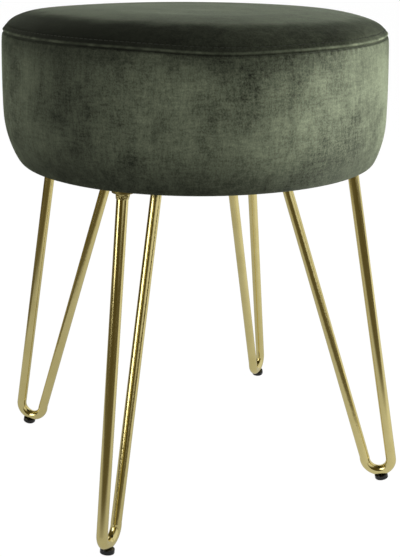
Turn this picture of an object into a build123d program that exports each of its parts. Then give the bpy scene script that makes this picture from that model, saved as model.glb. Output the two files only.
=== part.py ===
from build123d import *
from math import acos, asin, cos, degrees, radians, sin, sqrt, tan
import os

# Round upholstered stool on four hairpin legs.
# Millimetres, +Z up, origin on the floor under the middle of the seat, front leg towards -Y.

# Seat outline, as the cover stands
seat_diameter = 350.0
side_height = 104.8
side_draw = 2.6
tuck = 14.5
roll_radius = 7.0
belly_radius = 90.0
shoulder_radius = 22.0
brow_radius = 68.0
brow_angle = 25.0
crown_radius = 3000.0
seam_above_shoulder = 6.0
seam_bead_radius = 2.2
seam_bead_lift = 1.4

# Layers of the seat
velvet_thickness = 0.8
wadding_thickness = 5.0
layer_gap = 0.3
board_thickness = 15.0
board_setback = 13.0
board_edge_round = 2.0
hem_width = 26.0
dust_cover_thickness = 0.4
dust_cover_setback = 10.0

# Staples
staple_crown = 10.0
staple_wire_width = 1.2
staple_wire_thickness = 0.6
staple_leg = 8.0
staple_ease = 0.05
cover_staple_count = 32
cover_staple_setback = 20.0
dust_staples_between_legs = 5
dust_staple_setback = 14.0
dust_staple_leg_angle = 15.0

# Hairpin legs
leg_height = 315.5
leg_cross_angle = 96.0
rod_diameter = 10.0
bend_radius = 13.0
outer_lean = 10.8
inner_lean = 18.1

# Mounting plates and welds
plate_thickness = 3.0
plate_width = 20.0
plate_setback = 5.8
plate_outer_margin = 3.2
plate_inner_margin = 8.0
plate_chamfer = 0.4
weld_leg = 2.4
weld_toe = 0.6
weld_height = 7.0
weld_ease = 0.05

# Glides
glide_diameter = 13.0
glide_height = 3.6
glide_saddle = 1.0
glide_round = 0.8
glide_lift = 0.9
glide_ease = 0.1
stem_diameter = 5.0
stem_length = 6.0

# M6 bolts, washers and tee nuts
bolts_per_plate = 2
bolt_diameter = 6.0
bolt_tip_inset = 0.8
bolt_tip_chamfer = 0.6
bolt_head_diameter = 10.5
bolt_head_height = 3.3
bolt_head_round = 2.4
socket_width = 4.0
socket_depth = 2.0
plate_hole_ease = 0.3
washer_diameter = 12.0
washer_thickness = 1.6
washer_ease = 0.2
tee_nut_flange = 19.0
tee_nut_flange_thickness = 1.5
tee_nut_barrel = 8.0
tee_nut_length = 10.0
thread_ease = 0.05
board_hole_ease = 0.1

# Heights, from the floor up
plate_top = leg_height + plate_thickness
cover_under = plate_top + dust_cover_thickness
board_bottom = cover_under + velvet_thickness
board_top = board_bottom + board_thickness
shoulder_height = cover_under + side_height
seam_height = shoulder_height + seam_above_shoulder
washer_under = leg_height - washer_thickness

# Radii, from the edge of the seat in
seat_radius = seat_diameter / 2
rod_radius = rod_diameter / 2
tuck_radius = seat_radius - tuck
board_radius = seat_radius - board_setback
hem_radius = board_radius - hem_width
dust_cover_radius = board_radius - dust_cover_setback
shoulder_edge = seat_radius - side_draw

# The seat's outline is a chain of tangent arcs: roll, belly, side, shoulder, brow and crown
roll_angle = degrees(asin((belly_radius - tuck) / (belly_radius - roll_radius)))
belly_rise = roll_radius * (1 - cos(radians(roll_angle))) + belly_radius * cos(radians(roll_angle))
belly_height = cover_under + belly_rise
side_rise = side_height - belly_rise
side_radius = (side_rise**2 + side_draw**2) / (2 * side_draw)
side_angle = degrees(asin(side_rise / side_radius))
brow_edge = shoulder_edge - shoulder_radius * (cos(radians(side_angle)) - sin(radians(brow_angle)))
crown_sine = (brow_edge - brow_radius * sin(radians(brow_angle))) / (crown_radius - brow_radius)
crown_angle = degrees(asin(crown_sine))

# Each leg's bend stands over its glide, and both prongs run up tangent to it
leg_lean = (outer_lean + inner_lean) / 2
bend_height = glide_lift + (glide_height + rod_radius + bend_radius) * cos(radians(leg_lean))
outer_touch_height = bend_height + bend_radius * sin(radians(outer_lean))
inner_touch_height = bend_height - bend_radius * sin(radians(inner_lean))
outer_top = board_radius - plate_setback - plate_outer_margin - rod_radius
outer_touch = outer_top + (leg_height - outer_touch_height) * tan(radians(outer_lean))
bend_centre = outer_touch - bend_radius * cos(radians(outer_lean))
inner_touch = bend_centre - bend_radius * cos(radians(inner_lean))
inner_top = inner_touch - (leg_height - inner_touch_height) * tan(radians(inner_lean))
foot_reach = bend_centre + (glide_height + rod_radius + bend_radius) * sin(radians(leg_lean))

# Places round the seat
leg_azimuths = {
    "front": -90.0,
    "right": leg_cross_angle - 90.0,
    "back": 90.0,
    "left": leg_cross_angle + 90.0,
}
bolt_pitch = (outer_top - inner_top) / (bolts_per_plate + 1)
bolt_reaches = [inner_top + bolt_pitch * (i + 1) for i in range(bolts_per_plate)]


def round_spot(reach, azimuth):
    x = reach * cos(radians(azimuth))
    y = reach * sin(radians(azimuth))
    return Location((x, y, 0), (0, 0, azimuth + 90))


bolt_spots = [round_spot(reach, a) for a in leg_azimuths.values() for reach in bolt_reaches]
cover_staple_spots = [
    round_spot(board_radius - cover_staple_setback, 360 * i / cover_staple_count)
    for i in range(cover_staple_count)
]
dust_staple_spots = []
for start, span in zip(leg_azimuths.values(), 2 * [leg_cross_angle, 180 - leg_cross_angle]):
    step = (span - 2 * dust_staple_leg_angle) / (dust_staples_between_legs - 1)
    for i in range(dust_staples_between_legs):
        azimuth = start + dust_staple_leg_angle + i * step
        dust_staple_spots.append(round_spot(board_radius - dust_staple_setback, azimuth))


# The seat's solid form, drawn in by an inset, either whole or from a flat base on the belly up
def seat_form(inset, base=None):
    belly = belly_radius - inset
    with BuildPart() as form:
        with BuildSketch(Plane.XZ):
            with BuildLine():
                if base is None:
                    floor = Line((0, cover_under + inset), (tuck_radius, cover_under + inset))
                    roll = JernArc(floor @ 1, (1, 0), roll_radius - inset, roll_angle)
                    flank = JernArc(roll @ 1, roll % 1, belly, 90 - roll_angle)
                else:
                    climb = asin((belly_height - base) / belly)
                    floor = Line((0, base), (seat_radius - belly_radius + belly * cos(climb), base))
                    flank = JernArc(floor @ 1, (sin(climb), cos(climb)), belly, degrees(climb))
                side = JernArc(flank @ 1, flank % 1, side_radius - inset, side_angle)
                shoulder_turn = 90 - brow_angle - side_angle
                shoulder = JernArc(side @ 1, side % 1, shoulder_radius - inset, shoulder_turn)
                brow = JernArc(shoulder @ 1, shoulder % 1, brow_radius - inset, brow_angle - crown_angle)
                crown = JernArc(brow @ 1, brow % 1, crown_radius - inset, crown_angle)
                Line(crown @ 1, floor @ 0)
            make_face()
        revolve(axis=Axis.Z)
    return form.part


# A group of staples, crowns down, or with an ease all round the slots that they go in
def staple_group(spots, crown_under, ease=0.0):
    leg_offset = (staple_crown - staple_wire_thickness) / 2
    with BuildPart() as group:
        with BuildSketch(Plane.XY.offset(crown_under - ease)):
            with Locations(*spots):
                Rectangle(staple_crown + 2 * ease, staple_wire_width + 2 * ease)
        extrude(amount=staple_wire_thickness + 2 * ease)
        with BuildSketch(Plane.XY.offset(crown_under)):
            with Locations(*spots):
                with Locations((-leg_offset, 0), (leg_offset, 0)):
                    Rectangle(staple_wire_thickness + 2 * ease, staple_wire_width + 2 * ease)
        extrude(amount=staple_leg + ease)
    return group.part


# The upright plane of a leg: its x runs outwards from the middle of the seat, its y runs up
def leg_plane(azimuth):
    a = radians(azimuth)
    return Plane(origin=(0, 0, 0), x_dir=(cos(a), sin(a), 0), z_dir=(sin(a), -cos(a), 0))


# A plane across a line of a leg, at a point of the leg's plane, facing up the line
def cross_plane(plane, reach, height, lean):
    up_line = plane.x_dir * -sin(radians(lean)) + Vector(0, 0, cos(radians(lean)))
    return Plane(origin=plane.from_local_coords((reach, height)), x_dir=plane.z_dir, z_dir=up_line)


# A hairpin of round section, cut off level with the underside of the plate
def hairpin(plane, section_radius):
    trim = rod_diameter
    outer_end = (outer_top - trim * tan(radians(outer_lean)), leg_height + trim)
    inner_end = (inner_top - trim * tan(radians(inner_lean)), leg_height + trim)
    with BuildPart() as rod:
        with BuildLine(plane) as route:
            outer = Line(outer_end, (outer_touch, outer_touch_height))
            bend = JernArc(outer @ 1, outer % 1, bend_radius, outer_lean - inner_lean - 180)
            Line(bend @ 1, plane.from_local_coords(inner_end))
        with BuildSketch(Plane(origin=outer @ 0, z_dir=outer % 0)):
            Circle(section_radius)
        sweep(path=route.line)
        split(bisect_by=Plane.XY.offset(leg_height), keep=Keep.BOTTOM)
    return rod.part


os.makedirs("parts", exist_ok=True)

cover_staple_slots = staple_group(cover_staple_spots, cover_under, staple_ease)
dust_staple_slots = staple_group(dust_staple_spots, plate_top - staple_wire_thickness, staple_ease)

# Seat board of plywood, drilled for the tee nuts
with BuildPart() as seat_board:
    with BuildSketch(Plane.XY.offset(board_bottom)):
        Circle(board_radius)
    extrude(amount=board_thickness)
    fillet(seat_board.edges().group_by(Axis.Z)[0], board_edge_round)
    with BuildSketch(Plane.XY.offset(board_bottom)):
        with Locations(*bolt_spots):
            Circle(tee_nut_barrel / 2 + board_hole_ease)
    extrude(amount=board_thickness, mode=Mode.SUBTRACT)
    with BuildSketch(Plane.XY.offset(board_top)):
        with Locations(*bolt_spots):
            Circle(tee_nut_flange / 2 + board_hole_ease)
    extrude(amount=-tee_nut_flange_thickness, mode=Mode.SUBTRACT)
    add(cover_staple_slots, mode=Mode.SUBTRACT)
    add(dust_staple_slots, mode=Mode.SUBTRACT)
seat_board.part.label = "seat_board"
export_step(seat_board.part, "parts/seat_board.step")

# Foam core on the board, crowned like the seat
wadding_inset = velvet_thickness + layer_gap
foam_inset = wadding_inset + wadding_thickness + layer_gap
with BuildPart() as foam_core:
    add(seat_form(foam_inset, board_top))
foam_core.part.label = "foam_core"
export_step(foam_core.part, "parts/foam_core.step")

# Wadding over the foam and down past the edge of the board
wadding_base = cover_under + roll_radius
with BuildPart() as wadding_wrap:
    add(seat_form(wadding_inset, wadding_base))
    add(seat_form(wadding_inset + wadding_thickness, board_top), mode=Mode.SUBTRACT)
    with BuildSketch(Plane.XY.offset(wadding_base)):
        Circle(board_radius + layer_gap)
    extrude(amount=board_top - wadding_base, mode=Mode.SUBTRACT)
wadding_wrap.part.label = "wadding_wrap"
export_step(wadding_wrap.part, "parts/wadding_wrap.step")

# Top panel of the cover, with the rolled edge of its seam
shoulder_centre = shoulder_edge - shoulder_radius * cos(radians(side_angle))
bead_height = seam_height + seam_bead_lift
bead_climb = bead_height - shoulder_height + shoulder_radius * sin(radians(side_angle))
bead_reach = shoulder_centre + sqrt(shoulder_radius**2 - bead_climb**2)
with BuildPart() as top_panel:
    add(seat_form(0))
    with BuildSketch(Plane.XZ):
        with Locations((bead_reach, bead_height)):
            Circle(seam_bead_radius)
    revolve(axis=Axis.Z)
    add(seat_form(velvet_thickness), mode=Mode.SUBTRACT)
    split(bisect_by=Plane.XY.offset(seam_height), keep=Keep.TOP)
top_panel.part.label = "top_panel"
export_step(top_panel.part, "parts/top_panel.step")

# Side band of the cover, from the seam down and turned under the board
with BuildPart() as side_band:
    add(seat_form(0))
    add(seat_form(velvet_thickness), mode=Mode.SUBTRACT)
    split(bisect_by=Plane.XY.offset(seam_height), keep=Keep.BOTTOM)
    with BuildSketch(Plane.XY.offset(cover_under)):
        Circle(hem_radius)
    extrude(amount=velvet_thickness, mode=Mode.SUBTRACT)
    add(cover_staple_slots, mode=Mode.SUBTRACT)
    add(dust_staple_slots, mode=Mode.SUBTRACT)
side_band.part.label = "side_band"
export_step(side_band.part, "parts/side_band.step")

with BuildPart() as cover_staples:
    add(staple_group(cover_staple_spots, cover_under))
cover_staples.part.label = "cover_staples"
export_step(cover_staples.part, "parts/cover_staples.step")

# Dust cover stretched over the hem, with holes for the bolts
with BuildPart() as dust_cover:
    with BuildSketch(Plane.XY.offset(plate_top)):
        Circle(dust_cover_radius)
        with Locations(*bolt_spots):
            Circle(bolt_diameter / 2 + plate_hole_ease, mode=Mode.SUBTRACT)
    extrude(amount=dust_cover_thickness)
    add(dust_staple_slots, mode=Mode.SUBTRACT)
dust_cover.part.label = "dust_cover"
export_step(dust_cover.part, "parts/dust_cover.step")

with BuildPart() as dust_cover_staples:
    add(staple_group(dust_staple_spots, plate_top - staple_wire_thickness))
dust_cover_staples.part.label = "dust_cover_staples"
export_step(dust_cover_staples.part, "parts/dust_cover_staples.step")

# Tee nuts, flush with the top of the board
with BuildPart() as tee_nuts:
    with BuildSketch(Plane.XY.offset(board_top)):
        with Locations(*bolt_spots):
            Circle(tee_nut_flange / 2)
    extrude(amount=-tee_nut_flange_thickness)
    with BuildSketch(Plane.XY.offset(board_top)):
        with Locations(*bolt_spots):
            Circle(tee_nut_barrel / 2)
    extrude(amount=-tee_nut_length)
    with BuildSketch(Plane.XY.offset(board_top)):
        with Locations(*bolt_spots):
            Circle(bolt_diameter / 2 + thread_ease)
    extrude(amount=-tee_nut_length, mode=Mode.SUBTRACT)
tee_nuts.part.label = "tee_nuts"
export_step(tee_nuts.part, "parts/tee_nuts.step")

with BuildPart() as leg_washers:
    with BuildSketch(Plane.XY.offset(washer_under)):
        with Locations(*bolt_spots):
            Circle(washer_diameter / 2)
            Circle(bolt_diameter / 2 + washer_ease, mode=Mode.SUBTRACT)
    extrude(amount=washer_thickness)
leg_washers.part.label = "leg_washers"
export_step(leg_washers.part, "parts/leg_washers.step")

# Button-head bolts with a hexagon socket, up through the plates into the tee nuts
with BuildPart() as leg_bolts:
    with BuildSketch(Plane.XY.offset(washer_under)):
        with Locations(*bolt_spots):
            Circle(bolt_diameter / 2)
    extrude(amount=board_top - bolt_tip_inset - washer_under)
    chamfer(leg_bolts.edges().group_by(Axis.Z)[-1], bolt_tip_chamfer)
    with BuildSketch(Plane.XY.offset(washer_under)):
        with Locations(*bolt_spots):
            Circle(bolt_head_diameter / 2)
    extrude(amount=-bolt_head_height)
    fillet(leg_bolts.edges().group_by(Axis.Z)[0], bolt_head_round)
    with BuildSketch(Plane.XY.offset(washer_under - bolt_head_height)):
        with Locations(*bolt_spots):
            RegularPolygon(socket_width / 2, 6, major_radius=False)
    extrude(amount=socket_depth, mode=Mode.SUBTRACT)
leg_bolts.part.label = "leg_bolts"
export_step(leg_bolts.part, "parts/leg_bolts.step")

# The four legs: bent rod, mounting plate, weld beads and glide
plate_inner_end = inner_top - rod_radius - plate_inner_margin
plate_outer_end = outer_top + rod_radius + plate_outer_margin
plate_middle = (plate_inner_end + plate_outer_end) / 2
for side, azimuth in leg_azimuths.items():
    upright = leg_plane(azimuth)
    foot = cross_plane(upright, foot_reach, glide_lift, leg_lean)
    stem_foot = foot.offset(glide_height - glide_saddle)

    with BuildPart() as leg_rod:
        add(hairpin(upright, rod_radius))
        with BuildSketch(stem_foot):
            Circle(stem_diameter / 2 + glide_ease)
        extrude(amount=glide_saddle + stem_length + glide_ease, mode=Mode.SUBTRACT)
    leg_rod.part.label = f"{side}_leg_rod"
    export_step(leg_rod.part, f"parts/{side}_leg_rod.step")

    plate_origin = upright.from_local_coords((plate_middle, leg_height))
    with BuildPart() as leg_plate:
        with BuildSketch(Plane(origin=plate_origin, x_dir=upright.x_dir, z_dir=(0, 0, 1))):
            SlotOverall(plate_outer_end - plate_inner_end, plate_width)
            with Locations(*[(reach - plate_middle, 0) for reach in bolt_reaches]):
                Circle(bolt_diameter / 2 + plate_hole_ease, mode=Mode.SUBTRACT)
        extrude(amount=plate_thickness)
        chamfer(leg_plate.faces().sort_by(Axis.Z)[0].outer_wire().edges(), plate_chamfer)
    leg_plate.part.label = f"{side}_leg_plate"
    export_step(leg_plate.part, f"parts/{side}_leg_plate.step")

    with BuildPart() as leg_welds:
        for reach, lean in ((outer_top, outer_lean), (inner_top, inner_lean)):
            toe_reach = reach + weld_height * sin(radians(lean))
            toe_height = leg_height - weld_height * cos(radians(lean))
            toe = cross_plane(upright, toe_reach, toe_height, lean)
            with Locations(toe):
                Cone(
                    rod_radius + weld_toe,
                    rod_radius + weld_leg,
                    weld_height,
                    align=(Align.CENTER, Align.CENTER, Align.MIN),
                )
            with Locations(toe.offset(weld_height)):
                Cylinder(
                    rod_radius + weld_leg,
                    rod_radius,
                    align=(Align.CENTER, Align.CENTER, Align.MIN),
                )
            with Locations(toe):
                Cylinder(
                    rod_radius + weld_ease,
                    weld_height + rod_diameter,
                    align=(Align.CENTER, Align.CENTER, Align.MIN),
                    mode=Mode.SUBTRACT,
                )
        split(bisect_by=Plane.XY.offset(leg_height), keep=Keep.BOTTOM)
    leg_welds.part.label = f"{side}_leg_welds"
    export_step(leg_welds.part, f"parts/{side}_leg_welds.step")

    with BuildPart() as glide:
        with BuildSketch(foot):
            Circle(glide_diameter / 2)
        extrude(amount=glide_height + glide_saddle)
        rims = glide.edges().filter_by(GeomType.CIRCLE)
        fillet(rims, glide_round)
        add(hairpin(upright, rod_radius + glide_ease), mode=Mode.SUBTRACT)
        with BuildSketch(stem_foot):
            Circle(stem_diameter / 2)
        extrude(amount=glide_saddle + stem_length)
        split(bisect_by=Plane.XY, keep=Keep.TOP)
    glide.part.label = f"{side}_glide"
    export_step(glide.part, f"parts/{side}_glide.step")

print(f"feet at {foot_reach:.1f} mm from the middle, prong tops at {inner_top:.1f} and {outer_top:.1f}")
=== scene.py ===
import math

import bpy
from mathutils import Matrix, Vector, kdtree, noise


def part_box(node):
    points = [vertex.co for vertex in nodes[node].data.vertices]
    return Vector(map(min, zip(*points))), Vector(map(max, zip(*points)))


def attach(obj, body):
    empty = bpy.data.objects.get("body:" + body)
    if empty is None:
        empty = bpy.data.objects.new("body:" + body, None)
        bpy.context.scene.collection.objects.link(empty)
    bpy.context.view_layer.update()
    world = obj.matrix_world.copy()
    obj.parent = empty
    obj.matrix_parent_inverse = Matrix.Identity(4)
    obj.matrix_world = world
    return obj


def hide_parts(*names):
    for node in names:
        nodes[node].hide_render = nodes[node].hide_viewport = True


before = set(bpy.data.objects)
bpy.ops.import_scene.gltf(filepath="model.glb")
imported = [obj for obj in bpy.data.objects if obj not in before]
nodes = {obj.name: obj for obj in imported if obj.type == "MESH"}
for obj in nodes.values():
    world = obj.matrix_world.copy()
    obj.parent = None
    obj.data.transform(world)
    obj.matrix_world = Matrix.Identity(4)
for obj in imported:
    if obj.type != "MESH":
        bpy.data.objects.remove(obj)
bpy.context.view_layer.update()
scene = bpy.context.scene
mm = 0.001
near = 0.01 * mm  # points closer than this count as together
print("frame loaded with", len(nodes), "nodes")


# Shader sums: a Wire is one socket, and sums of wires add Math nodes
class Wire:
    def __init__(self, finish, socket):
        self.finish = finish
        self.socket = socket

    def math(self, operation, *values):
        return self.finish.node("ShaderNodeMath", {"operation": operation}, dict(enumerate(values)))

    def __add__(self, other):
        return self.math("ADD", self, other)

    def __sub__(self, other):
        return self.math("SUBTRACT", self, other)

    def __rsub__(self, other):
        return self.math("SUBTRACT", other, self)

    def __mul__(self, other):
        return self.math("MULTIPLY", self, other)

    __radd__ = __add__
    __rmul__ = __mul__


# The node tree of one material, or of the world
class Finish:
    def __init__(self, owner):
        owner.use_nodes = True
        self.owner = owner
        self.tree = owner.node_tree

    def socket(self, sockets, key):
        if isinstance(key, int):
            return sockets[key]
        return next(s for s in sockets if key in (s.identifier, s.name))

    def feed(self, node, key, value):
        socket = self.socket(node.inputs, key)
        if isinstance(value, Wire):
            self.tree.links.new(value.socket, socket)
        else:
            socket.default_value = value

    def node(self, kind, settings=None, inputs=None, output=0):
        made = self.tree.nodes.new(kind)
        for key, value in (settings or {}).items():
            setattr(made, key, value)
        for key, value in (inputs or {}).items():
            self.feed(made, key, value)
        return Wire(self, self.socket(made.outputs, output))

    def coat(self, **values):  # the Principled shader's own sockets, with _ for a space
        shader = self.tree.nodes["Principled BSDF"]
        for key, value in values.items():
            self.feed(shader, key.replace("_", " "), value)

    def cover(self, factor, under, over):  # two shaders mixed for the whole surface
        mixed = self.node("ShaderNodeMixShader", None, {0: factor, 1: under, 2: over})
        self.feed(self.tree.nodes["Material Output"], "Surface", mixed)

    def here(self):
        return self.node("ShaderNodeTexCoord", output="Object")

    def place(self, stretch=(1, 1, 1), shift=(0, 0, 0)):
        inputs = {"Vector": self.here(), "Scale": stretch, "Location": shift}
        return self.node("ShaderNodeMapping", None, inputs)

    def cloud(self, spot, scale, detail=2, rough=0.5, swirl=0):
        inputs = {"Vector": spot, "Scale": scale, "Detail": detail, "Roughness": rough, "Distortion": swirl}
        return self.node("ShaderNodeTexNoise", None, inputs)

    def cells(self, spot, scale, spread=1):
        inputs = {"Vector": spot, "Scale": scale, "Randomness": spread}
        return self.node("ShaderNodeTexVoronoi", None, inputs)

    def step(self, value, low, high):
        inputs = {"Value": value, "From Min": low, "From Max": high}
        return self.node("ShaderNodeMapRange", {"interpolation_type": "SMOOTHSTEP"}, inputs)

    def blend(self, factor, low, high):
        inputs = {"Factor_Float": factor, "A_Color": low, "B_Color": high}
        return self.node("ShaderNodeMix", {"data_type": "RGBA"}, inputs, "Result_Color")

    def bump(self, height, strength, depth, normal=None):
        inputs = {"Height": height, "Strength": strength, "Distance": depth}
        if normal:
            inputs["Normal"] = normal
        return self.node("ShaderNodeBump", None, inputs)

    def vector(self, operation, *values, output="Vector"):
        return self.node("ShaderNodeVectorMath", {"operation": operation}, dict(enumerate(values)), output)

    def along(self, spot, way):  # how far a spot lies along a direction
        return self.vector("DOT_PRODUCT", spot, way, output="Value")

    def height(self, spot):
        return self.node("ShaderNodeSeparateXYZ", None, {0: spot}, "Z")


def colour(red, green, blue):  # as a picture program gives it, 0 to 255
    levels = [v / 255 for v in (red, green, blue)]
    return (*[v / 12.92 if v < 0.04 else ((v + 0.055) / 1.055) ** 2.4 for v in levels], 1)


def newFinish(name):
    return Finish(bpy.data.materials.new(name))


# Gold plating, where it is bright or dulled, and a dark tint: painted shade on the plates, scorch on the
# welds
goldTint = {
    "bright": (0.82, 0.71, 0.32, 1),
    "dull": (0.73, 0.62, 0.25, 1),
    "shadeAndScorch": (0.34, 0.28, 0.10, 1),
}


# Rods: bright steel, drawn along its length and a little dulled in places
rodLook = {
    "hazeScale": 38,
    "hazeSpan": (0.35, 0.75),
    "hazeDull": 0.6,
    "drawnStretch": (1, 1, 0.06),
    "drawnScale": 1600,
    "rough": 0.12,
    "hazeRough": 0.06,
    "drawnRough": 0.03,
    "bump": 0.004,
    "depth": 0.1 * mm,
}


def makeGold():
    look = rodLook
    gold = newFinish("gold")
    haze = gold.step(gold.cloud(gold.place(), look["hazeScale"], detail=4, rough=0.6), *look["hazeSpan"])
    drawn = gold.cloud(gold.place(look["drawnStretch"]), look["drawnScale"])
    gold.coat(
        Base_Color=gold.blend(haze * look["hazeDull"], goldTint["bright"], goldTint["dull"]),
        Metallic=1,
        Roughness=look["rough"] + haze * look["hazeRough"] + drawn * look["drawnRough"],
        Normal=gold.bump(drawn, look["bump"], look["depth"]),
    )
    return gold.owner


# Plates: the same plating, less polished, with the seat's shade painted into their colour
plateLook = {
    "hazeScale": 60,
    "hazeDull": 0.3,
    "rough": 0.3,
    "hazeRough": 0.2,
    "bump": 0.1,
    "depth": 0.1 * mm,
}


def makePlateGold():
    look = plateLook
    gold = newFinish("plateGold")
    haze = gold.cloud(gold.place(), look["hazeScale"], detail=3, rough=0.6)
    gold.coat(
        # Mostly the dark tint: painted shade from the seat above
        Base_Color=gold.blend(haze * look["hazeDull"], goldTint["shadeAndScorch"], goldTint["dull"]),
        Metallic=1,
        Roughness=look["rough"] + haze * look["hazeRough"],
        Normal=gold.bump(haze, look["bump"], look["depth"]),
    )
    return gold.owner


# Weld metal, plated over: scorched in places, and rough with spatter
weldLook = {
    "scorchScale": 260,
    "scorchSpan": (0.4, 0.7),
    "spatterScale": 430,
    "spatterSpan": (0.3, 0.7),
    "rough": 0.12,
    "scorchRough": 0.16,
    "bump": 0.6,
    "depth": 0.6 * mm,
}


def makeWeldGold():
    look = weldLook
    gold = newFinish("weldGold")
    burnt = gold.cloud(gold.place(), look["scorchScale"], detail=3, rough=0.6)
    scorch = gold.step(burnt, *look["scorchSpan"])
    spatter = gold.step(gold.cloud(gold.place(), look["spatterScale"]), *look["spatterSpan"])
    gold.coat(
        Base_Color=gold.blend(scorch, goldTint["bright"], goldTint["shadeAndScorch"]),
        Metallic=1,
        Roughness=look["rough"] + scorch * look["scorchRough"],
        Normal=gold.bump(spatter, look["bump"], look["depth"]),
    )
    return gold.owner


# Moulded black plastic of the glides, scuffed where they slide
glideLook = {
    "black": colour(17, 17, 16),
    "scuffed": colour(52, 50, 46),
    "scuffStretch": (1, 1, 3),
    "scuffScale": 900,
    "scuffSpan": (0.5, 0.75),
    "scuffPale": 0.5,
    "mouldScale": 2600,
    "rough": 0.14,
    "scuffRough": 0.2,
    "bump": 0.06,
    "depth": 0.1 * mm,
}


def makeGlidePlastic():
    look = glideLook
    plastic = newFinish("glidePlastic")
    shadeAndWear = plastic.cloud(plastic.place(look["scuffStretch"]), look["scuffScale"], detail=3, rough=0.7)
    scuff = plastic.step(shadeAndWear, *look["scuffSpan"])
    mould = plastic.cloud(plastic.place(), look["mouldScale"], detail=1)
    plastic.coat(
        Base_Color=plastic.blend(scuff * look["scuffPale"], look["black"], look["scuffed"]),
        Roughness=look["rough"] + scuff * look["scuffRough"],
        Normal=plastic.bump(mould, look["bump"], look["depth"]),
    )
    return plastic.owner


# Black non-woven cloth, pressed all over with small dots
dustClothLook = {
    "pressed": colour(20, 20, 21),
    "fibre": colour(58, 58, 60),
    "dotScale": 480,
    "dotSpread": 0.25,
    "dotSpan": (0.18, 0.42),
    "fibreScale": 1300,
    "rough": 0.82,
    "fibreRough": 0.12,
    "shine": 0.25,
    "dotRelief": 0.7,
    "fibreRelief": 0.3,
    "bump": 0.5,
    "depth": 0.3 * mm,
}


def makeDustCloth():
    look = dustClothLook
    cloth = newFinish("dustCloth")
    dots = cloth.step(cloth.cells(cloth.place(), look["dotScale"], look["dotSpread"]), *look["dotSpan"])
    fibres = cloth.cloud(cloth.place(), look["fibreScale"], detail=4, rough=0.7)
    relief = dots * look["dotRelief"] + fibres * look["fibreRelief"]
    cloth.coat(
        Base_Color=cloth.blend(fibres * dots, look["pressed"], look["fibre"]),
        Roughness=look["rough"] + fibres * look["fibreRough"],
        Specular_IOR_Level=look["shine"],
        Normal=cloth.bump(relief, look["bump"], look["depth"]),
    )
    return cloth.owner


# Zinc plate, cloudy, with a little yellow in it
zincLook = {
    "pale": colour(196, 198, 196),
    "yellowed": colour(150, 150, 140),
    "spangleScale": 420,
    "hazeScale": 160,
    "rough": 0.26,
    "spangleRough": 0.3,
    "bump": 0.08,
    "depth": 0.1 * mm,
}


def makeZinc():
    look = zincLook
    zinc = newFinish("zinc")
    spangle = zinc.cells(zinc.place(), look["spangleScale"])
    haze = zinc.cloud(zinc.place(), look["hazeScale"], detail=3, rough=0.6)
    zinc.coat(
        Base_Color=zinc.blend(haze, look["pale"], look["yellowed"]),
        Metallic=1,
        Roughness=look["rough"] + spangle * look["spangleRough"],
        Normal=zinc.bump(haze, look["bump"], look["depth"]),
    )
    return zinc.owner


# Birch ply: pale and dark veneers by height, with fine grain along X
plywoodLook = {
    "pale": colour(196, 162, 116),
    "dark": colour(148, 108, 68),
    "grainStretch": (0.08, 1, 1),
    "grainScale": 420,
    "veneerPair": 3 * mm,
    "veneerSpan": (-0.3, 0.3),
    "veneerTint": 0.6,
    "grainTint": 0.4,
    "rough": 0.6,
    "grainRough": 0.2,
    "bump": 0.2,
    "depth": 0.2 * mm,
}


def makePlywood():
    look = plywoodLook
    ply = newFinish("plywood")
    grain = ply.cloud(ply.place(look["grainStretch"]), look["grainScale"], detail=4, rough=0.6)
    turns = ply.height(ply.here()) * (2 * math.pi / look["veneerPair"])
    veneers = ply.step(turns.math("SINE", turns), *look["veneerSpan"])
    tone = veneers * look["veneerTint"] + grain * look["grainTint"]
    ply.coat(
        Base_Color=ply.blend(tone, look["pale"], look["dark"]),
        Roughness=look["rough"] + grain * look["grainRough"],
        Normal=ply.bump(grain, look["bump"], look["depth"]),
    )
    return ply.owner


gold = makeGold()
plateGold = makePlateGold()
weldGold = makeWeldGold()
glidePlastic = makeGlidePlastic()
dustCloth = makeDustCloth()
zinc = makeZinc()
plywood = makePlywood()
print("materials made")


def deselectAll():
    if bpy.context.object and bpy.context.object.mode != "OBJECT":
        bpy.ops.object.mode_set(mode="OBJECT")
    bpy.ops.object.select_all(action="DESELECT")


# A ring of points, extruded through the rest of the rings, each a radius and a height
def growPiece(name, rings, points, fill="NOTHING"):
    start = rings[0][0]
    bpy.ops.mesh.primitive_circle_add(vertices=points, radius=start, location=(0, 0, 0), fill_type=fill)
    piece = bpy.context.object
    piece.name = name
    piece.data.name = name
    bpy.ops.object.mode_set(mode="EDIT")
    bpy.ops.mesh.select_mode(type="VERT")
    bpy.ops.transform.translate(value=(0, 0, rings[0][1]))
    for (oldRadius, oldHeight), (radius, height) in zip(rings, rings[1:]):
        bpy.ops.mesh.extrude_region_move(TRANSFORM_OT_translate={"value": (0, 0, height - oldHeight)})
        scale = radius / oldRadius
        bpy.ops.transform.resize(value=(scale, scale, 1), center_override=(0, 0, height))
    return piece


def selectVerts(piece, wanted):
    bpy.ops.mesh.select_all(action="DESELECT")
    bpy.ops.object.mode_set(mode="OBJECT")
    for vert in piece.data.vertices:
        vert.select = wanted(vert)
    bpy.ops.object.mode_set(mode="EDIT")


def faceOutwards():
    bpy.ops.mesh.select_all(action="SELECT")
    bpy.ops.mesh.normals_make_consistent(inside=False)
    bpy.ops.object.mode_set(mode="OBJECT")


# A copy with its own mesh, set at a spot and turned with its Z along a way
def copyPiece(piece, way, spot):
    copy = piece.copy()
    copy.data = piece.data.copy()
    scene.collection.objects.link(copy)
    copy.rotation_mode = "QUATERNION"
    copy.rotation_quaternion = way.to_track_quat("Z", "Y")
    copy.location = spot
    return copy


def joinPieces(pieces, name):
    deselectAll()
    for piece in pieces:
        piece.select_set(True)
    bpy.context.view_layer.objects.active = pieces[0]
    bpy.ops.object.join()
    joined = bpy.context.object
    joined.name = name
    return joined


def applyPlace():
    bpy.ops.object.transform_apply(location=True, rotation=True, scale=True)


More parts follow.
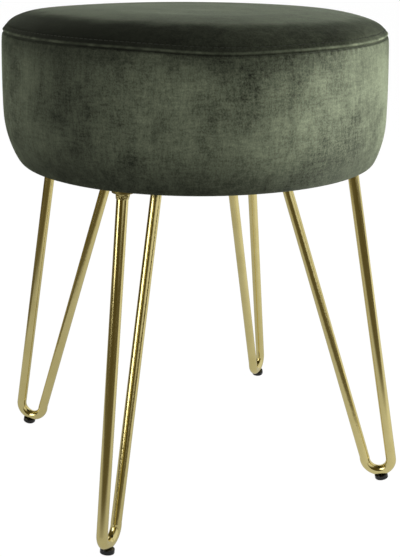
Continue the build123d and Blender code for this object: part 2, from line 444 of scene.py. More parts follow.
def smoothOnce(piece):
    modifier = piece.modifiers.new("smooth", "SUBSURF")
    modifier.levels = 1
    modifier.render_levels = 1
    bpy.ops.object.modifier_apply(modifier=modifier.name)


def setFinish(piece, material):
    piece.data.materials.clear()
    piece.data.materials.append(material)
    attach(piece, "root")


def smoothStep(low, high, value):
    t = max(0.0, min(1.0, (value - low) / (high - low)))
    return t * t * (3 - 2 * t)


def hump(value, middle, width):
    return math.exp(-(((value - middle) / width) ** 2))


# Camera, set where the photograph was taken from
view = {
    "azimuth": 23.358,
    "pitch": 19.983,
    "reach": 849.1 * mm,
    "eyeHeight": 501.0 * mm,
    "focalPixels": 908.86,
    "pictureWidth": 400,
    "axisPixel": 195.51,  # where the lens axis meets the picture
    "sensor": 36,
    "clipEnd": 100,
}
cameraTurn = math.radians(view["azimuth"])
toCamera = Vector((math.sin(cameraTurn), -math.cos(cameraTurn), 0))
toRight = Vector((math.cos(cameraTurn), math.sin(cameraTurn), 0))


def makeCamera():
    spot = toCamera * view["reach"]
    spot.z = view["eyeHeight"]
    bpy.ops.object.camera_add(location=spot, rotation=(math.radians(90 - view["pitch"]), 0, cameraTurn))
    camera = bpy.context.object
    lens = camera.data
    lens.sensor_fit = "HORIZONTAL"
    lens.sensor_width = view["sensor"]
    lens.lens = view["focalPixels"] * view["sensor"] / view["pictureWidth"]
    lens.shift_x = 0.5 - view["axisPixel"] / view["pictureWidth"]
    lens.clip_end = view["clipEnd"]
    scene.camera = camera


deselectAll()
makeCamera()
print("camera placed")


# Seat cushion: velvet over wadding and foam, drawn down over the board and stapled under it
cushion = {
    "segments": 144,
    "tuck": 14.5 * mm,
    "roll": 7 * mm,
    "belly": 90 * mm,
    "sideDraw": 2.6 * mm,
    "shoulder": 22 * mm,
    "belowSeam": 6 * mm,
    "brow": 68 * mm,
    "browTurn": math.radians(25),
    "crown": 3000 * mm,
    "middle": 60 * mm,
    "hemWidth": 26 * mm,
    "boardGap": 0.3 * mm,
    "fineStep": 2 * mm,
    "coarseStep": 6 * mm,
    "stepGrowth": 1.15,
    "rollStep": 0.3,  # of the run from the tuck
    "lastStep": 0.6,  # of a whole step
    "topSlack": 3.6 * mm,
    "topSlackFrom": 30 * mm,
    "bandSlack": 0.3 * mm,
    "bandFullness": 0.8,
    "runSamples": 6000,
    "hiddenRun": -10 * mm,  # for points that lie off the outline
    "hollowMargin": 0.5 * mm,
    "hollowFoot": 0.1 * mm,
    "hollowRoof": 1 * mm,
    "tuckMargin": 1 * mm,
    "middleMargin": 1 * mm,
    "lean": 0.024,
    "backLean": 0.007,
    "backSpan": (80 * mm, -120 * mm),
    "backRise": 60 * mm,
    "sag": 2.4 * mm,
    "sagTurn": math.radians(7),
    "sagWidth": math.radians(17),
    "lift": 3.1 * mm,
    "liftTurn": math.radians(76),
    "liftWidth": math.radians(34),
    "unevenReach": 19 * mm,
    "lumpDepth": 0.7 * mm,
    "lumpScale": 16,
    "lumpSeed": (3.1, 0.4, 7.7),
    "firmReach": 30 * mm,
    "heldRoll": 0.7,
    "heldSeam": 0.2 * mm,
    "clothQuality": 6,
    "airDamping": 5,
    "bending": 5,
    "pressure": 1,
    "frames": 20,
    "moveCap": 3.5 * mm,
    "sinkCap": 0.5 * mm,
}


class Outline:  # the seat's outline as tangent arcs, run out from the tuck under the board
    def __init__(self):
        c = cushion
        bandLow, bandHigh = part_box("side_band")
        self.edge = max(bandHigh.x, bandHigh.y)
        self.under = bandLow.z
        self.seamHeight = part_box("top_panel")[0].z
        rollTurn = math.asin((c["belly"] - c["tuck"]) / (c["belly"] - c["roll"]))
        bellyRise = c["roll"] * (1 - math.cos(rollTurn)) + c["belly"] * math.cos(rollTurn)
        sideRise = self.seamHeight - c["belowSeam"] - self.under - bellyRise
        sideRadius = (sideRise**2 + c["sideDraw"] ** 2) / (2 * c["sideDraw"])
        sideTurn = math.asin(sideRise / sideRadius)
        browSine = math.sin(c["browTurn"])
        browEdge = self.edge - c["sideDraw"] - c["shoulder"] * (math.cos(sideTurn) - browSine)
        crownTurn = math.asin((browEdge - c["brow"] * browSine) / (c["crown"] - c["brow"]))
        self.arcs = [
            (c["roll"], rollTurn),
            (c["belly"], math.pi / 2 - rollTurn),
            (sideRadius, sideTurn),
            (c["shoulder"], math.pi / 2 - c["browTurn"] - sideTurn),
            (c["brow"], c["browTurn"] - crownTurn),
            (c["crown"], crownTurn),
        ]
        lengths = [radius * turn for radius, turn in self.arcs]
        seamClimb = math.asin(math.sin(sideTurn) + c["belowSeam"] / c["shoulder"])
        self.seamRun = sum(lengths[:3]) + c["shoulder"] * (seamClimb - sideTurn)
        self.rollRun = lengths[0]
        self.fullRun = sum(lengths)

    def at(self, run):  # radius, height and heading
        radius, height, heading = self.edge - cushion["tuck"], self.under, 0.0
        for arc, turn in self.arcs:
            part = min(run / arc, turn)
            radius += arc * (math.sin(heading + part) - math.sin(heading))
            height += arc * (math.cos(heading) - math.cos(heading + part))
            heading += part
            run -= part * arc
            if run <= 0:
                break
        return radius, height, heading

    def slack(self, run):  # how far in the cover starts before the stuffing fills it
        c = cushion
        if run < self.seamRun:
            share = (run - self.rollRun) / (self.seamRun - self.rollRun)
            return c["bandSlack"] * math.sin(math.pi * max(0, share)) ** c["bandFullness"]
        flatFrom = self.fullRun - c["middle"] - self.seamRun
        return c["topSlack"] * smoothStep(c["topSlackFrom"], flatFrom, run - self.seamRun)

    def ringRuns(self):  # close together at the seam and the roll, further apart elsewhere
        c = cushion
        runs = [0, self.seamRun, self.fullRun - c["middle"]]
        for way, end in ((1, runs[2]), (-1, 0)):
            run, step = self.seamRun, c["fineStep"]
            while True:
                nearRoll = max(c["fineStep"], abs(run) * c["rollStep"])
                step = min(step * c["stepGrowth"], c["coarseStep"], nearRoll)
                run += way * step
                if abs(end - run) < step * c["lastStep"] or (end - run) * way < 0:
                    break
                runs.append(run)
        return sorted(runs)


outline = Outline()


# Velvet: a dark ground, and pile that shows paler where it is brushed up. The band's pile leans round the
# seat.
# Shade is painted into the colour on the brow, the top panel, below the seam, in its groove and towards the
# hem, and a highlight along the seam's fold.
velvetLook = {
    "ground": colour(33, 35, 28),
    "pile": colour(160, 170, 140),
    "sheenTint": colour(214, 226, 200),
    "sheen": 0.34,
    "sheenRough": 0.38,
    "shine": 0.12,
    "rough": 0.86,
    "napSmooth": 0.12,
    "bareRough": 0.9,
    "bareShine": 0.08,
    "bareBrow": 0.7,
    "bandLean": 0.40,
    "bump": 0.22,
    "depth": 0.5 * mm,
    "marks": {  # each kind of mark is noise, cut to a span
        "patches": {"scale": 11, "shift": (1.14, 2.67, -0.04), "span": (0.34, 0.68)},
        "brushed": {"scale": 42, "stretch": (1, 1, 0.9), "span": (0.32, 0.70)},
        "upright": {"scale": 380, "stretch": (1, 1, 0.25), "span": (0.32, 0.70)},
        "level": {"scale": 110, "stretch": (1, 1, 4), "span": (0.32, 0.70)},
        "grain": {"scale": 900, "stretch": (1, 1, 0.8), "span": (0.34, 0.68), "detail": 2},
        "puckers": {"scale": 110, "span": (0.3, 0.7), "detail": 1},
        "bruises": {"scale": 55, "stretch": (1, 1, 0.35), "span": (0.66, 0.78), "detail": 1},
    },
    "markDetail": 3,
    "markRough": 0.6,
    "markSwirl": 0.3,
    "threads": {"upright": 0.17, "level": 0.17, "grain": 0.22},  # how much each mark pales the pile
    "patchPale": 0.28,
    "brushPale": 0.16,
    "evenTone": 0.28,
    "evenShare": 0.35,
    "napGain": 1.18,
    "napDark": 0.085,
    "bruiseDark": 0.35,
    "relief": {"upright": 0.3, "level": 0.3, "grain": 0.4},
    "right": (50 * mm, 140 * mm),  # places across the seat, as the camera sees it
    "farRight": (130 * mm, 170 * mm),
    "paler": (-90 * mm, 90 * mm),
    "calmLeft": (-110 * mm, -40 * mm),
    "panel": (-0.5 * mm, 0.5 * mm),  # places along the outline, from the seam up
    "browEnd": (23 * mm, 44 * mm),
    "browWave": 5 * mm,
    "browRight": 12 * mm,
    "laidEnd": (4 * mm, 11 * mm),
    "seamSide": (-26 * mm, -1 * mm),
    "hemEnd": (-114 * mm, -66 * mm),
    "grooveStart": (-2.4 * mm, -1 * mm),
    "grooveEnd": (-0.2 * mm, 0.5 * mm),
    "foldStart": (0.2 * mm, 1.4 * mm),
    "foldEnd": (1.4 * mm, 3.2 * mm),
    "browShade": 0.96,  # how dark the painted shade makes the brow
    "browPaler": 0.19,
    "browLaid": 0.1,
    "topShade": 0.68,
    "seamShade": 0.5,
    "seamShadeLost": 0.8,  # at the right
    "hemShade": 0.6,
    "grooveShade": 0.4,
    "grooveRight": 0.4,
    "foldHighlight": 0.3,
    "foldRight": 0.45,
    "puckerLow": 0.4,
    "puckerRise": 0.6,
}


def velvetMark(velvet, plan):
    look = velvetLook
    spot = velvet.place(plan.get("stretch", (1, 1, 1)), plan.get("shift", (0, 0, 0)))
    detail = plan.get("detail", look["markDetail"])
    tone = velvet.cloud(spot, plan["scale"], detail, look["markRough"], look["markSwirl"])
    return velvet.step(tone, *plan["span"])


def weighed(marks, weights):
    first, *rest = [marks[name] * weight for name, weight in weights.items()]
    return sum(rest, first)


def makeVelvet():
    look = velvetLook
    velvet = newFinish("velvet")
    marks = {name: velvetMark(velvet, plan) for name, plan in look["marks"].items()}
    spot = velvet.here()
    across = velvet.along(spot, toRight)
    above = velvet.node("ShaderNodeAttribute", {"attribute_name": "run"}, None, "Fac") - outline.seamRun

    # Where on the cover
    right = velvet.step(across, *look["right"])
    calm = 1 - velvet.step(across, *look["calmLeft"])
    onTop = velvet.step(above, *look["panel"])
    wave = (marks["brushed"] - 0.5) * look["browWave"]
    wavy = above + wave + velvet.step(across, *look["farRight"]) * look["browRight"]
    # Painted shade on the brow, a dark ring above the seam whose upper edge wanders and climbs at the far
    # right
    brow = onTop * (1 - velvet.step(wavy, *look["browEnd"]))
    # Painted light: on the right, just above the seam, the brow's painted shade is eased
    laid = right * (1 - velvet.step(above, *look["laidEnd"]))
    # Painted shade on the band just below the seam, less of it on the right
    seamSide = velvet.step(above, *look["seamSide"]) * (1 - onTop) * (1 - right * look["seamShadeLost"])
    # Painted shade towards the hem, darker down to where the cover turns under
    hemSide = 1 - velvet.step(above, *look["hemEnd"])
    groove = velvet.step(above, *look["grooveStart"]) * (1 - velvet.step(above, *look["grooveEnd"]))
    fold = velvet.step(above, *look["foldStart"]) * (1 - velvet.step(above, *look["foldEnd"]))

    # How much pile shows, with painted shade and a painted highlight
    # The brow's painted shade lightens towards the right, where the light falls
    paler = velvet.step(across, *look["paler"])
    # Painted shade: the brow, the rest of the top panel, the band below the seam and the hem are darkened
    # in the colour
    shadeAndWear = brow * (look["browShade"] - paler * look["browPaler"] - laid * look["browLaid"])
    # The rest of the top panel has a lighter painted shade
    shadeAndWear = shadeAndWear + (onTop - brow) * look["topShade"] + seamSide * look["seamShade"] + hemSide * look["hemShade"]
    threads = weighed(marks, look["threads"])
    threads = threads + (look["evenTone"] - threads) * (calm * look["evenShare"])
    woven = marks["patches"] * look["patchPale"] + marks["brushed"] * look["brushPale"] + threads
    # Painted shade in the seam's groove, darker on the right
    sunkShade = groove * (right * look["grooveRight"] + look["grooveShade"])
    # Painted highlight along the fold of the seam, brighter on the right
    raisedHighlight = fold * (marks["puckers"] * look["puckerRise"] + look["puckerLow"])
    unbruised = 1 - marks["bruises"] * look["bruiseDark"]
    nap = (woven * look["napGain"] - look["napDark"]) * (1 - shadeAndWear) * unbruised * (1 - sunkShade)
    nap = nap + raisedHighlight * (right * look["foldRight"] + look["foldHighlight"])

    around = velvet.vector("NORMALIZE", velvet.vector("CROSS_PRODUCT", (0, 0, 1), spot))
    normal = velvet.node("ShaderNodeNewGeometry", output="Normal")
    lean = (1 - onTop) * look["bandLean"]
    leaning = velvet.node("ShaderNodeVectorMath", {"operation": "SCALE"}, {0: around, "Scale": lean})
    tilted = velvet.vector("NORMALIZE", velvet.vector("ADD", normal, leaning))
    relief = velvet.bump(weighed(marks, look["relief"]), look["bump"], look["depth"], tilted)
    tone = velvet.blend(nap, look["ground"], look["pile"])
    velvet.coat(
        Base_Color=tone,
        Roughness=look["rough"] - nap * look["napSmooth"],
        Specular_IOR_Level=look["shine"],
        Sheen_Weight=look["sheen"],
        Sheen_Roughness=look["sheenRough"],
        Sheen_Tint=look["sheenTint"],
        Normal=relief,
    )
    pile = Wire(velvet, velvet.tree.nodes["Principled BSDF"].outputs[0])
    bareInputs = {
        "Base Color": tone,
        "Roughness": look["bareRough"],
        "Specular IOR Level": look["bareShine"],
        "Normal": relief,
    }
    bare = velvet.node("ShaderNodeBsdfPrincipled", None, bareInputs)
    # On the brow a shader without sheen is mixed in, which darkens the painted shade further
    velvet.cover(brow * look["bareBrow"], pile, bare)
    return velvet.owner


velvet = makeVelvet()


def makeCushion():
    c = cushion
    boardLow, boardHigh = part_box("seat_board")
    board = boardHigh.x + c["boardGap"]
    hem = boardHigh.x - c["hemWidth"]
    seatTop = boardHigh.z + c["boardGap"]
    rings = [  # the hollow that the board fills, then the hem under it
        (c["middle"], seatTop),
        (board, seatTop),
        (board, boardLow.z),
        (hem, boardLow.z),
        (hem, outline.under),
    ]
    for run in outline.ringRuns():
        radius, height, heading = outline.at(run)
        inward = outline.slack(run)
        rings.append((radius - inward * math.sin(heading), height + inward * math.cos(heading)))
    piece = growPiece("seat_cushion", rings, c["segments"])
    for height in (rings[0][1], rings[-1][1]):  # the open rings in the hollow and on the crown
        selectVerts(
            piece,
            lambda v: abs(v.co.z - height) < near
            and abs(v.co.xy.length - c["middle"]) < c["middleMargin"],
        )
        bpy.ops.mesh.fill_grid(span=c["segments"] // 4)
    faceOutwards()
    bpy.ops.object.shade_smooth()
    return piece


def readRuns(piece):
    return [point.value for point in piece.data.attributes["run"].data]


def markRuns(piece):  # each point keeps its run along the outline
    c = cushion
    samples = c["runSamples"]
    tree = kdtree.KDTree(samples + 1)
    for i in range(samples + 1):
        radius, height = outline.at(outline.fullRun * i / samples)[:2]
        tree.insert((radius, height, 0), i)
    tree.balance()
    runs = piece.data.attributes.new("run", "FLOAT", "POINT")
    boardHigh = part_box("seat_board")[1]
    hollowFoot = outline.under + c["hollowFoot"]
    hollowRoof = boardHigh.z + c["hollowRoof"]
    for i, vert in enumerate(piece.data.vertices):
        radius, height = vert.co.xy.length, vert.co.z
        lining = radius < boardHigh.x + c["hollowMargin"] and hollowFoot < height < hollowRoof
        turnedUnder = radius < outline.edge - c["tuck"] - c["tuckMargin"] and height < outline.seamHeight
        if lining or turnedUnder:
            runs.data[i].value = c["hiddenRun"]
        else:
            runs.data[i].value = tree.find((radius, height, 0))[1] * outline.fullRun / samples


def crownMiddle(piece):  # the filled middle of the top follows the crown
    for vert in piece.data.vertices:
        radius = vert.co.xy.length
        if vert.co.z > outline.seamHeight and radius < cushion["middle"] - near:
            vert.co.z = outline.at(outline.fullRun - radius)[1] - cushion["topSlack"]


def leanAt(spot, run):  # less on the top towards the back
    c = cushion
    upper = smoothStep(-c["backRise"], 0, run - outline.seamRun)
    back = smoothStep(*c["backSpan"], spot.dot(toCamera)) * upper
    return c["lean"] + (c["backLean"] - c["lean"]) * back


def unevenAt(spot, run):  # the seam sags at the front and lifts at one side
    c = cushion
    turn = math.atan2(spot.dot(toRight), spot.dot(toCamera))
    lift = c["lift"] * hump(turn, c["liftTurn"], c["liftWidth"])
    sag = c["sag"] * hump(turn, c["sagTurn"], c["sagWidth"])
    return (lift - sag) * hump(run, outline.seamRun, c["unevenReach"])


def leanCushion(piece):  # stuffed a little lower on one side, and not quite even
    c = cushion
    for vert, run in zip(piece.data.vertices, readRuns(piece)):
        if run < 0:
            continue
        held = smoothStep(0, outline.rollRun, run)
        vert.co.z += (unevenAt(vert.co, run) - leanAt(vert.co, run) * vert.co.dot(toRight)) * held
        lump = noise.noise(vert.co * c["lumpScale"] + Vector(c["lumpSeed"]))
        outward = Vector((vert.co.x, vert.co.y, 0)).normalized()
        firm = min(1, abs(run - outline.seamRun) / c["firmReach"])
        vert.co += outward * lump * c["lumpDepth"] * firm * held


def stuffCushion(piece):
    c = cushion
    runs = readRuns(piece)
    pins = [i for i, run in enumerate(runs) if run < outline.rollRun * c["heldRoll"]]
    pins += [i for i, run in enumerate(runs) if abs(run - outline.seamRun) < c["heldSeam"]]
    piece.vertex_groups.new(name="sewn").add(pins, 1, "REPLACE")
    before = [(v.co.copy(), v.normal.copy()) for v in piece.data.vertices]
    cloth = piece.modifiers.new("stuffing", "CLOTH")
    cloth.settings.quality = c["clothQuality"]
    cloth.settings.air_damping = c["airDamping"]
    cloth.settings.bending_stiffness = c["bending"]
    cloth.settings.use_pressure = True
    cloth.settings.uniform_pressure_force = c["pressure"]
    cloth.settings.vertex_group_mass = "sewn"
    cloth.settings.effector_weights.gravity = 0
    cloth.collision_settings.use_collision = False
    for number in range(1, c["frames"] + 1):
        scene.frame_set(number)
    bpy.ops.object.modifier_apply(modifier=cloth.name)
    scene.frame_set(1)
    most = 0
    for vert, (old, normal) in zip(piece.data.vertices, before):
        rise = (vert.co - old).dot(normal)
        most = max(most, rise)
        vert.co = old + normal * max(-c["sinkCap"], min(c["moveCap"], rise))
    print("stuffing lifted the cover by up to %.2f mm" % (most / mm))


# Seam round the top: the panel's edge is folded, laid over the band and topstitched
seam = {
    "finerFrom": -7 * mm,
    "finerTo": 12 * mm,
    "sewnFrom": -9 * mm,
    "sewnTo": 14 * mm,
    "grooveAt": -0.1 * mm,
    "grooveWidth": 0.85 * mm,
    "grooveDepth": 1.2 * mm,
    "foldAt": 1.6 * mm,
    "foldWidth": 1.2 * mm,
    "foldHeight": 0.45 * mm,
    "foldEven": 0.6,
    "foldPulled": 0.9,
    "laidFrom": (0.4 * mm, 1.8 * mm),
    "laidTo": 6.4 * mm,  # the line that the stitches follow
    "laidEnd": (0.6 * mm, -1.6 * mm),
    "laidHeight": 0.25 * mm,
    "stitchDip": 0.5 * mm,
    "stitchDipWidth": 0.8 * mm,
    "puckerPitch": 7.5 * mm,
    "puckerAt": -2.6 * mm,
    "puckerWidth": 2.4 * mm,
    "puckerDepth": 0.75 * mm,
    "wander": 2.5,
    "wanderScale": 4,
}


def refineSeam(piece):
    runs = readRuns(piece)
    bpy.ops.object.mode_set(mode="EDIT")
    bpy.ops.mesh.select_mode(type="FACE")
    bpy.ops.mesh.select_all(action="DESELECT")
    bpy.ops.object.mode_set(mode="OBJECT")
    for face in piece.data.polygons:
        middle = sum(runs[i] for i in face.vertices) / len(face.vertices) - outline.seamRun
        face.select = seam["finerFrom"] < middle < seam["finerTo"]
    bpy.ops.object.mode_set(mode="EDIT")
    bpy.ops.mesh.subdivide(number_cuts=1)
    bpy.ops.object.mode_set(mode="OBJECT")


def seamRelief(above, turn):  # height of the sewn edge, by the run above the seam and the turn round it
    s = seam
    puckers = round(2 * math.pi * outline.edge / s["puckerPitch"])
    ring = Vector((math.cos(turn), math.sin(turn), 0))
    pull = math.cos(puckers * turn + s["wander"] * noise.noise(ring * s["wanderScale"]))
    laidEnd = [s["laidTo"] + past for past in s["laidEnd"]]
    laid = smoothStep(*s["laidFrom"], above) * smoothStep(*laidEnd, above)
    height = -s["grooveDepth"] * hump(above, s["grooveAt"], s["grooveWidth"])
    fold = s["foldHeight"] * (s["foldEven"] + s["foldPulled"] * pull)
    height += fold * hump(above, s["foldAt"], s["foldWidth"])
    height += s["laidHeight"] * laid
    height -= s["stitchDip"] * hump(above, s["laidTo"], s["stitchDipWidth"])
    height -= s["puckerDepth"] * max(0, pull) * hump(above, s["puckerAt"], s["puckerWidth"])
    return height


def sewSeam(piece):
    moves = {}
    for vert, run in zip(piece.data.vertices, readRuns(piece)):
        above = run - outline.seamRun
        if seam["sewnFrom"] < above < seam["sewnTo"]:
            turn = math.atan2(vert.co.y, vert.co.x)
            moves[vert.index] = vert.normal * seamRelief(above, turn)
    for i, move in moves.items():
        piece.data.vertices[i].co += move


cushionPiece = makeCushion()
markRuns(cushionPiece)
crownMiddle(cushionPiece)
leanCushion(cushionPiece)
stuffCushion(cushionPiece)
smoothOnce(cushionPiece)
refineSeam(cushionPiece)
sewSeam(cushionPiece)
setFinish(cushionPiece, velvet)
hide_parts("top_panel", "side_band", "wadding_wrap", "foam_core")
print("cushion sewn,", len(cushionPiece.data.polygons), "faces")


# Topstitch: one thread stitch is modelled, and copied round the seam
stitch = {
    "pitch": 4.4 * mm,
    "length": 3.3 * mm,
    "width": 0.62 * mm,
    "sides": 6,
    "endWidth": 0.45,  # of the whole width
    "middleWidth": 1.05,
    "fullFrom": 0.7,  # of the half length
    "rise": 0.15,  # of the width, above the velvet
    "dark": colour(36, 39, 31),
    "pale": colour(66, 70, 58),
    "twistScale": 2200,
    "rough": 0.6,
    "twistRough": 0.2,
    "bump": 0.3,
    "depth": 0.2 * mm,
}
stitchRun = outline.seamRun + seam["laidTo"]
stitchRadius, stitchHeight = outline.at(stitchRun)[:2]
stitchCount = round(2 * math.pi * stitchRadius / stitch["pitch"])


def makeStitch():
    half = stitch["length"] / 2
    thick = stitch["width"] / 2
    full = half * stitch["fullFrom"]
    end = thick * stitch["endWidth"]
    rings = [(end, -half), (thick, -full), (thick * stitch["middleWidth"], 0), (thick, full), (end, half)]
    piece = growPiece("topstitch_thread", rings, stitch["sides"], "NGON")
    faceOutwards()
    bpy.ops.object.shade_smooth()
    return piece


def sewStitches(first):
    copies = []
    for i in range(stitchCount):
        turn = 2 * math.pi * i / stitchCount
        guess = Vector((stitchRadius * math.cos(turn), stitchRadius * math.sin(turn), stitchHeight))
        lean = leanAt(guess, stitchRun)
        guess.z += unevenAt(guess, stitchRun) - lean * guess.dot(toRight)
        spot, normal = cushionPiece.closest_point_on_mesh(guess)[1:3]
        along = Vector((-math.sin(turn), math.cos(turn), 0))
        along.z = -lean * along.dot(toRight)
        copies.append(copyPiece(first, along, spot + normal * stitch["width"] * stitch["rise"]))
    bpy.data.objects.remove(first)
    thread = joinPieces(copies, "topstitch_thread")
    applyPlace()
    return thread


def makeThreadFinish():
    thread = newFinish("thread")
    twist = thread.cloud(thread.place(), stitch["twistScale"])
    thread.coat(
        Base_Color=thread.blend(twist, stitch["dark"], stitch["pale"]),
        Roughness=stitch["rough"] + twist * stitch["twistRough"],
        Normal=thread.bump(twist, stitch["bump"], stitch["depth"]),
    )
    return thread.owner


deselectAll()
threadPiece = sewStitches(makeStitch())
setFinish(threadPiece, makeThreadFinish())
print("topstitch sewn,", stitchCount, "stitches")


# Weld beads where the prongs meet the plates: one rippled bead, copied to all eight prongs
weld = {
    "rod": 5 * mm,
    "ease": 0.05 * mm,
    "tall": 6.6 * mm,
    "wide": 1.5 * mm,
    "points": 33,
    "ringShares": (0.16, 0.38, 0.62, 0.84, 1.0),
    "flare": 0.62,
    "droop": 1.7,
    "toeHeight": 0.98,  # of the whole height
    "ripples": 7,
    "rippleDepth": 0.45 * mm,
    "rippleTwist": 500,
    "lumpScale": 210,
    "lumpDepth": 1.4 * mm,
    "lumpSag": 0.8,
    "wallReach": 0.1 * mm,  # points nearer to the rod than this lie on it
    "fullReach": 1 * mm,
    "rimDrop": 1 * mm,
    "rimRise": 1.6 * mm,
    "creaseTurn": math.radians(50),
    "sides": ("front", "right", "back", "left"),
    "prongs": (  # where each prong meets the plate, from the middle of the seat, and its lean
        (148.0 * mm, math.radians(10.8)),
        (81.1 * mm, math.radians(18.1)),
    ),
}


def makeBead():
    w = weld
    inner = w["rod"] + w["ease"]
    rings = [(inner, -w["tall"])]
    for share in w["ringShares"]:
        height = -w["tall"] * w["toeHeight"] * (1 - share) ** w["droop"]
        rings.append((inner + w["wide"] * share ** w["flare"], height))
    rings.append((inner, rings[-1][1]))
    piece = growPiece("weld_bead", rings, w["points"])
    selectVerts(piece, lambda v: abs(v.co.xy.length - inner) < near)
    bpy.ops.mesh.bridge_edge_loops()
    faceOutwards()
    for vert in piece.data.vertices:
        reach = vert.co.xy.length - inner
        if reach < w["wallReach"]:
            continue
        turn = math.atan2(vert.co.y, vert.co.x)
        ripple = math.cos(w["ripples"] * turn + vert.co.z * w["rippleTwist"]) * w["rippleDepth"]
        lump = noise.noise(vert.co * w["lumpScale"]) * w["lumpDepth"]
        outward = Vector((vert.co.x, vert.co.y, 0)).normalized()
        vert.co += outward * (ripple + lump) * min(1, reach / w["fullReach"])
        if vert.co.z < -w["rimDrop"]:
            vert.co.z += lump * w["lumpSag"]
    return piece


def setBead(bead, out, top, lean, plateUnder):
    up = Vector((0, 0, 1)) * math.cos(lean) - out * math.sin(lean)
    copy = copyPiece(bead, up, out * top + Vector((0, 0, plateUnder)))
    deselectAll()
    copy.select_set(True)
    bpy.context.view_layer.objects.active = copy
    applyPlace()
    for vert in copy.data.vertices:  # the bead's upper rim lies on the plate
        drop = plateUnder - vert.co.z
        if drop < weld["rimRise"]:
            vert.co += up * (drop / up.z)
    return copy


def makeWelds():
    bead = makeBead()
    for side in weld["sides"]:
        plateLow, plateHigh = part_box(side + "_leg_plate")
        middle = (plateLow + plateHigh) / 2
        out = Vector((middle.x, middle.y, 0)).normalized()
        pair = [setBead(bead, out, top, lean, plateLow.z) for top, lean in weld["prongs"]]
        joined = joinPieces(pair, side + "_weld_beads")
        smoothOnce(joined)
        bpy.ops.object.shade_smooth_by_angle(angle=weld["creaseTurn"])
        setFinish(joined, weldGold)
        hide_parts(side + "_leg_welds")
    bpy.data.objects.remove(bead)


deselectAll()
makeWelds()
print("weld beads laid")


# Finishes of the CAD pieces, by the ends of their names
nodeFinishes = {
    "rod": gold,
    "plate": plateGold,
    "welds": weldGold,
    "glide": glidePlastic,
    "dust_cover": dustCloth,
    "staples": zinc,
    "tee_nuts": zinc,
    "washers": zinc,
    "bolts": zinc,
    "board": plywood,
}


def dressNodes():
    for name, piece in nodes.items():
        for ending, material in nodeFinishes.items():
            if name.endswith(ending):
                piece.data.materials.clear()
                piece.data.materials.append(material)


dressNodes()
print("CAD pieces finished")


# Floor and light: a pale sweep, a strong light on the right, weaker ones round it, a strip for the metal.
# The room in front of the sweep and to its left is dark, and only the metal shows it.
stage = {
    "floorSize": 40,
    "floorGrey": 0.46,
    "floorWhite": 0.9,
    "floorGlow": 0.93,
    "glowLevel": 1.055,
    "shineLeft": 0.46,
    "shineRight": 0.72,
    "shineTurn": (-0.1, 0.45),
    "sweepFront": (0.2, 0.42),
    "sweepLeft": (-0.62, -0.44),
    "skyLow": 0.02,
    "skyHigh": 0.27,
    "skyRise": (0.1, 0.8),
    "roomDark": (0.078, 0.060, 0.018, 1),
    "roomRight": 0.75,
    "roomTurn": (0.1, 0.6),
    "backdrop": (0.75, 0.95),
    "aim": 0.38,
    "lights": {
        "keyRight": {"turn": 103, "reach": 1.5, "height": 0.34, "size": (0.7, 0.7), "power": 26},
        "fillFront": {"turn": -30, "reach": 1.5, "height": 0.4, "size": (0.7, 0.7), "power": 1.8},
        "rimLeft": {"turn": -110, "reach": 1.5, "height": 0.4, "size": (0.7, 0.7), "power": 12},
        "topRight": {"turn": 60, "reach": 1.5, "height": 1.6, "size": (0.8, 0.8), "power": 9},
        "stripLeft": {"turn": -55, "reach": 2.0, "height": 0.86, "size": (1.0, 1.4), "power": 13},
    },
    "metalLight": "stripLeft",  # only the metal shows this light, and it doesn't show the others
}


def grey(level):
    return (level, level, level, 1)


def seenRay(finish):  # 1 for what the camera sees, also off metal or through glass, and 1 for metal alone
    kinds = ("Camera", "Glossy", "Transmission")
    direct, gloss, through = [finish.node("ShaderNodeLightPath", output="Is %s Ray" % k) for k in kinds]
    return direct.math("MAXIMUM", direct, gloss.math("MAXIMUM", gloss, through)), gloss


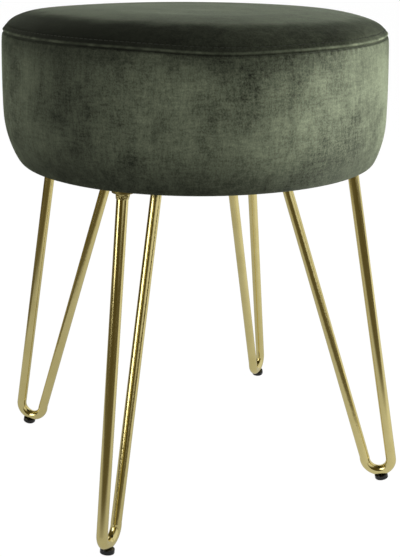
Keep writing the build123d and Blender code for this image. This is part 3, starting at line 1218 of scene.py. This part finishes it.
def makeFloor():
    bpy.ops.mesh.primitive_plane_add(size=stage["floorSize"], location=(0, 0, 0))
    floor = bpy.context.object
    floor.name = "floor"
    finish = newFinish("paleFloor")
    seen, gloss = seenRay(finish)
    spot = finish.here()
    right = finish.along(spot, toRight)
    ahead = finish.along(spot, toCamera)
    paper = finish.step(right, *stage["sweepLeft"]) * (1 - finish.step(ahead, *stage["sweepFront"]))
    turned = finish.step(right, *stage["shineTurn"])
    lit = finish.blend(turned, grey(stage["shineLeft"]), grey(stage["shineRight"]))
    shine = finish.blend(paper, stage["roomDark"], lit)
    white = finish.blend(seen, grey(stage["floorGrey"]), grey(stage["floorWhite"]))
    matte = finish.node("ShaderNodeBsdfDiffuse", None, {"Color": white})
    shown = finish.blend(gloss, grey(1), shine)
    glow = finish.node("ShaderNodeEmission", None, {"Color": shown, "Strength": stage["glowLevel"]})
    finish.cover(seen * stage["floorGlow"], matte, glow)
    floor.data.materials.append(finish.owner)


def makeLight(name, plan):
    turn = cameraTurn + math.radians(plan["turn"])
    spot = Vector((math.sin(turn), -math.cos(turn), 0)) * plan["reach"]
    spot.z = plan["height"]
    aim = Vector((0, 0, stage["aim"])) - spot
    bpy.ops.object.light_add(type="AREA", location=spot, rotation=aim.to_track_quat("-Z", "Y").to_euler())
    lamp = bpy.context.object
    lamp.name = name
    lamp.visible_glossy = name == stage["metalLight"]
    lamp.visible_diffuse = name != stage["metalLight"]
    lamp.data.shape = "RECTANGLE"
    lamp.data.size, lamp.data.size_y = plan["size"]
    lamp.data.energy = plan["power"]


def makeSky():
    world = bpy.data.worlds.new("studio")
    scene.world = world
    sky = Finish(world)
    seen, gloss = seenRay(sky)
    way = sky.node("ShaderNodeTexCoord", output="Generated")
    risen = sky.step(sky.height(way), *stage["skyRise"])
    soft = sky.blend(risen, grey(stage["skyLow"]), grey(stage["skyHigh"]))
    turned = sky.step(sky.along(way, toRight), *stage["roomTurn"])
    room = sky.blend(turned, stage["roomDark"], grey(stage["roomRight"]))
    backdrop = sky.step(sky.along(way, -toCamera), *stage["backdrop"])
    shown = sky.blend(gloss, grey(1), sky.blend(backdrop, room, grey(1)))
    sky.feed(sky.tree.nodes["Background"], "Color", sky.blend(seen, soft, shown))


deselectAll()
makeFloor()
for lightName, lightPlan in stage["lights"].items():
    makeLight(lightName, lightPlan)
makeSky()
scene.view_settings.view_transform = "Standard"
print("floor and light set")
